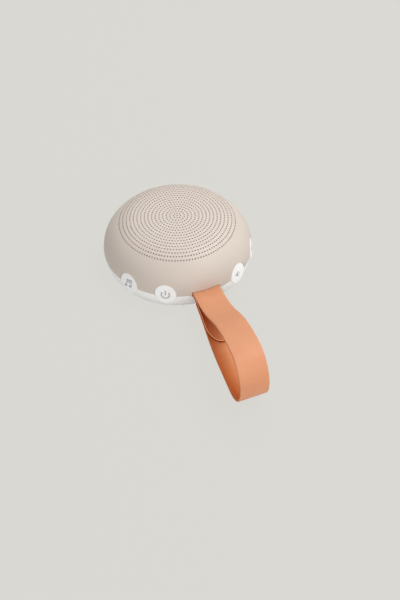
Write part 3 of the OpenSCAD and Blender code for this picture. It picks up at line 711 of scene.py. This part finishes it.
def hide(name, pale, deep, roughness, pore, depth, sheen):
    """Leather: clouded dye, fine pores of a size and depth in millimetres, and a soft sheen."""
    finish = Finish(name, pale, roughness, Specular_IOR_Level=sheen)
    cloud = finish.noise(DYE_CLOUD, 4, 0.55)
    fibre = finish.noise(FIBRE, 3, 0.6)
    finish.tone = finish.mix(cloud * (1 - FIBRE_IN_DYE) + fibre * FIBRE_IN_DYE,
                             (*linear(pale), 1), (*linear(deep), 1))
    finish.feed("Base Color", finish.tone)
    pores = finish.node("ShaderNodeTexVoronoi", {"feature": "SMOOTH_F1"},
                        {"Vector": finish.where, "Scale": 1 / (pore * MM)})
    finish.feed("Roughness", fibre * FIBRE_DULLING + (roughness - FIBRE_DULLING / 2))
    finish.relief(pores * (1 - FIBRE_IN_RELIEF) + fibre * FIBRE_IN_RELIEF, depth)
    return finish


grain = hide("leather_grain_face", (222, 157, 119), (204, 136, 97), 0.47, 0.45, 0.02, 0.26).material
burnished = hide("leather_edge", (222, 130, 80), (206, 114, 66), 0.75, 0.8, 0.02, 0.05).material
# The bevel's bright colour is a painted highlight, and the dark edge's colour is painted shade
painted_highlight_bevel = hide("leather_bevel_painted_highlight", (255, 176, 122), (246, 160, 106), 0.6, 0.8, 0.02, 0.2).material
painted_shade_edge = hide("leather_edge_painted_shade", (140, 58, 20), (122, 48, 14), 0.75, 0.8, 0.02, 0.05).material

# Painted shade darkens the back of the leather where it leaves the slot; painted light pales its right
# side
BACK_PAINTED_SHADE, BACK_PAINTED_LIGHT = (152, 50, 8), (226, 156, 110)
PAINTED_SHADE_START, PAINTED_SHADE_END = 60 * MM, 88 * MM
PAINTED_LIGHT_START, PAINTED_LIGHT_END = -13 * MM, -3 * MM
back_finish = hide("leather_back_face", (212, 117, 62), (200, 104, 50), 0.62, 0.7, 0.03, 0.1)
across_place = back_finish.node("ShaderNodeSeparateXYZ", {}, {0: back_finish.where}, 0)
along_place = back_finish.node("ShaderNodeSeparateXYZ", {}, {0: back_finish.where}, 1)
painted_light_mask = back_finish.node("ShaderNodeMapRange", {}, {0: across_place, 1: PAINTED_LIGHT_START, 2: PAINTED_LIGHT_END})
painted_shade_mask = back_finish.node("ShaderNodeMapRange", {}, {0: along_place * -1, 1: PAINTED_SHADE_START, 2: PAINTED_SHADE_END})
# Painted light pales the right of the back face, and painted shade darkens it towards the slot
tone = back_finish.mix(painted_light_mask, back_finish.tone, (*linear(BACK_PAINTED_LIGHT), 1))
back_finish.feed("Base Color", back_finish.mix(painted_shade_mask, (*linear(BACK_PAINTED_SHADE), 1), tone))
flesh = back_finish.material

# The leather's faces by number, and its material for each. The tongue's cut edges are painted dark as
# shade, and its inner bevel is painted bright as a highlight.
OUTER, INNER, EDGE, BEVEL, EDGE_PAINTED_SHADE, BEVEL_PAINTED_HIGHLIGHT = range(6)
LEATHERS = (grain, flesh, burnished, burnished, painted_shade_edge, painted_highlight_bevel)

# The section has this many faces across, and bevels of three. CUT_EDGE is the place of its right edge.
ACROSS = 12
CUT_EDGE = ACROSS + 3
EDGE_R = 0.45
LEATHER_CREASE = 60
WELD = 0.001


def strap_section():
    """Points (across, depth) round the section, from the outer face's left edge, and its faces."""
    half = STRAP_W / 2
    flat = [(-half + EDGE_R + (STRAP_W - 2 * EDGE_R) * n / ACROSS, 0) for n in range(ACROSS + 1)]
    corner = [math.radians(a) for a in (30, 60, 90)]
    turn_out = [(half - EDGE_R + EDGE_R * math.sin(a), EDGE_R * (1 - math.cos(a))) for a in corner]
    turn_in = [(half - EDGE_R + EDGE_R * math.cos(a), LEATHER_T - EDGE_R + EDGE_R * math.sin(a))
               for a in corner]
    inner = turn_in + [(-x, LEATHER_T) for x, _ in flat[1:]]
    close = [(-x, d) for x, d in turn_in[:-1]][::-1] + [(-x, d) for x, d in turn_out][::-1]
    inside = [BEVEL] * 2 + [INNER] * ACROSS + [BEVEL] * 2
    kinds = [OUTER] * CUT_EDGE + [EDGE] + inside + [EDGE] + [OUTER] * 3
    return flat + turn_out + inner + close, kinds


def leaning(s, z, across):
    """A point of the strap, which leans sideways from the line where it bends."""
    lean = max(0, s - FLEX_S) * math.tan(STRAP_LEAN)
    return across - lean, -s, z


def strip(name, line, section_at, kinds_at):
    """Leather swept along its stations, closed at both ends."""
    points, faces, sorts = [], [], []
    for number, (s, z, a) in enumerate(line):
        for across, depth in section_at(number):
            points.append(leaning(s - depth * math.cos(a), z - depth * math.sin(a), across))
    size = len(kinds_at(0))
    for number in range(len(line) - 1):
        start = number * size
        for n in range(size):
            after = (n + 1) % size
            faces.append((start + n, start + after, start + size + after, start + size + n))
            sorts.append(kinds_at(number)[n])
    faces.append(tuple(range(size - 1, -1, -1)))
    faces.append(tuple(len(points) - size + n for n in range(size)))
    sorts += [kinds_at(0)[CUT_EDGE], kinds_at(len(line) - 2)[CUT_EDGE]]
    made = piece(name, points, faces, *LEATHERS)
    made.data.polygons.foreach_set("material_index", sorts)
    fresh = bmesh.new()
    fresh.from_mesh(made.data)
    bmesh.ops.remove_doubles(fresh, verts=fresh.verts, dist=WELD * MM)
    bmesh.ops.recalc_face_normals(fresh, faces=fresh.faces)
    fresh.to_mesh(made.data)
    fresh.free()
    crease(made, LEATHER_CREASE)
    return made


section, kinds = strap_section()
# The tongue's bevels take the painted highlight, and its cut edges take the painted shade
inner_kinds = [BEVEL_PAINTED_HIGHLIGHT if kind == BEVEL else kind for kind in kinds[CUT_EDGE + 1:-4]]
tongue_kinds = [OUTER] * ACROSS + [EDGE_PAINTED_SHADE] * 4 + inner_kinds + [EDGE_PAINTED_SHADE] * 4
strap = strip("strap_leather", strap_line, lambda number: section,
              lambda number: tongue_kinds if number < OUT_STATIONS else kinds)
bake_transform(strap)
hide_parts("strap_loop", "strap_root")


# ---- Tongue ----
# The strap's other end: it goes on from the strap's lower layer, past the bend, and lies inside
# the loop on the lower run, where a snap fastener holds the two together.
TONGUE_LEN = 33.2
ROUND_LEN = 14.5
TONGUE_TIP = FLEX_S + TONGUE_LEN
TONGUE_STEPS = 60
TIP_GAPS = (1.6, 1.2, 0.9, 0.65, 0.45, 0.3, 0.18, 0.09, 0.03)
TIP_CLEAR = 0.1

# Its stations sit on the lower run's inner face, and come closer together towards its tip
lift = LEATHER_T + LAYER_GAP
whole_run = [(s - lift * math.cos(a), z - lift * math.sin(a), a) for s, z, a in lower_run(TONGUE_STEPS)]
tongue_line = [station for station in whole_run if station[0] < TONGUE_TIP - TIP_GAPS[0] - TIP_CLEAR]
for gap in TIP_GAPS:
    stop = TONGUE_TIP - gap
    near = [station for station in whole_run if station[0] <= stop][-1]
    far = whole_run[whole_run.index(near) + 1]
    share = (stop - near[0]) / (far[0] - near[0])
    tongue_line.append(tuple(one + (other - one) * share for one, other in zip(near, far)))


def tongue_half(s, inset):
    """Half the width of the tongue's outline, set in by a distance, at a distance from the axis."""
    left = min(1, max(0, (TONGUE_TIP - inset - s) / (ROUND_LEN - inset)))
    return (STRAP_W / 2 - inset) * math.sqrt(1 - (1 - left) ** 2)


# Points this near to the flat's edge count as on it
FLAT_SLACK = 0.001


def tongue_section(number):
    """The strap's section with its bevels carried round the tongue's rounded end."""
    s = tongue_line[number][0]
    end = max(0, TONGUE_TIP - s)
    fitted = []
    for across, depth in section:
        inset = STRAP_W / 2 - abs(across)
        if inset >= EDGE_R - FLAT_SLACK:
            across *= tongue_half(s, EDGE_R) / (STRAP_W / 2 - EDGE_R)
            inset = EDGE_R
        else:
            across = math.copysign(tongue_half(s, inset), across)
        if end < inset:
            drop = EDGE_R - math.sqrt(EDGE_R ** 2 - (EDGE_R - end) ** 2)
            depth = max(depth, drop) if depth < LEATHER_T / 2 else min(depth, LEATHER_T - drop)
        fitted.append((across, depth))
    return fitted


tongue = strip("tongue_leather", tongue_line, tongue_section, lambda number: tongue_kinds)
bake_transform(tongue)
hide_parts("strap_tongue")


# ---- Small and inner parts ----
# What the case holds, and the small metal parts: each keeps its CAD solid and gets the
# finish of what it is made of.
def plain(name, colour, other, roughness, blotch, depth, **fixed):
    """A finish with blotches of two colours and a fine relief, both sized in millimetres."""
    finish = Finish(name, colour, roughness, **fixed)
    drift = finish.noise(blotch, 3)
    finish.spread(drift, colour, other)
    finish.relief(finish.noise(blotch / 6, 3), depth)
    return finish.material


finishes = {
    "foot_rubber": plain("foot_rubber", (182, 177, 170), (172, 167, 160), 0.8, 2, 0.02),
    "black_plastic": plain("black_plastic", (40, 40, 43), (48, 48, 51), 0.55, 3, 0.006),
    "acoustic_cloth": plain("acoustic_cloth", (92, 80, 72), (70, 61, 55), 0.95, 0.4, 0.05),
    "board": plain("board", (38, 104, 70), (30, 88, 58), 0.35, 4, 0.004),
    "chip_resin": plain("chip_resin", (34, 34, 36), (42, 42, 44), 0.5, 2, 0.006),
    "socket_steel": plain("socket_steel", (188, 190, 192), (176, 178, 181), 0.28, 1.5, 0.003,
                          Metallic=1.0),
    "cell_wrap": plain("cell_wrap", (160, 166, 172), (148, 154, 161), 0.3, 6, 0.01, Metallic=0.6),
    "foam": plain("foam", (56, 56, 58), (44, 44, 46), 0.9, 0.8, 0.06),
    "lead_red": plain("lead_red", (176, 40, 32), (160, 34, 28), 0.5, 2, 0.004),
    "lead_black": plain("lead_black", (34, 34, 36), (44, 44, 46), 0.5, 2, 0.004),
    "plug_plastic": plain("plug_plastic", (232, 226, 208), (222, 215, 196), 0.5, 3, 0.004),
    "frame_steel": plain("frame_steel", (62, 64, 67), (54, 56, 59), 0.45, 4, 0.006, Metallic=0.7),
    "magnet": plain("magnet", (72, 74, 78), (60, 62, 66), 0.5, 2, 0.01, Metallic=0.8),
    "cone_paper": plain("cone_paper", (38, 38, 41), (30, 30, 33), 0.85, 0.7, 0.03),
    "terminal_board": plain("terminal_board", (164, 112, 58), (146, 98, 50), 0.7, 1.5, 0.01),
    "screw_steel": plain("screw_steel", (180, 182, 185), (166, 168, 172), 0.3, 1, 0.004, Metallic=1.0),
    "snap_brass": plain("snap_brass", (196, 168, 118), (180, 152, 102), 0.32, 1.5, 0.004, Metallic=1.0),
}
for part in frame["record"]["subparts"]:
    if part["material_slot"] in finishes:
        mesh = frame["nodes"][part["node"]].data
        mesh.materials.clear()
        mesh.materials.append(finishes[part["material_slot"]])
